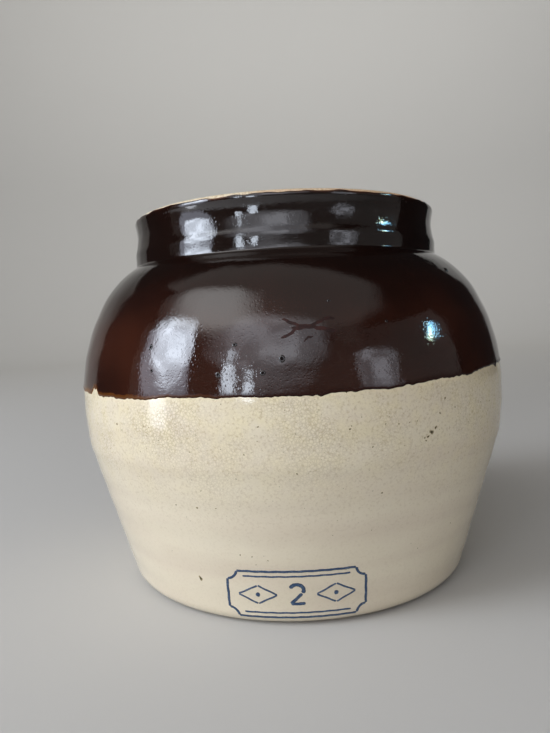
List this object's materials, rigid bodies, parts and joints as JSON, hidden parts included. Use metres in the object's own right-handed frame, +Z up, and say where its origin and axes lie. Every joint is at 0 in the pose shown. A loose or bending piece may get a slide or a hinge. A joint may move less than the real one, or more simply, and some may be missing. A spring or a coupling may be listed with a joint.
{
  "type": "bean pot",
  "caption": "Squat round stoneware bean pot with a short flared neck, dark glaze over a pale tapered base, and a blue capacity mark.",
  "frame": {"origin": "centre of the foot ring, on the plane the pot stands on", "axes": "+Z up along the pot's axis, out of the mouth; -Y towards the front, where the capacity mark is; +X to the right seen from the front"},
  "size_m": [0.1748, 0.1748, 0.1465],
  "materials": {
    "fired_clay": "unglazed, matt",
    "brown_glaze": "glossy slip glaze",
    "cream_glaze": "satin gloss, finely crazed",
    "inside_glaze": "glossy slip glaze",
    "cobalt_ink": "underglaze stamp"
  },
  "bodies": {
    "root": {"clay_body": "fired_clay", "brown_glaze": "brown_glaze", "cream_glaze": "cream_glaze", "inside_glaze": "inside_glaze", "capacity_mark": "cobalt_ink"}
  },
  "joints": []
}
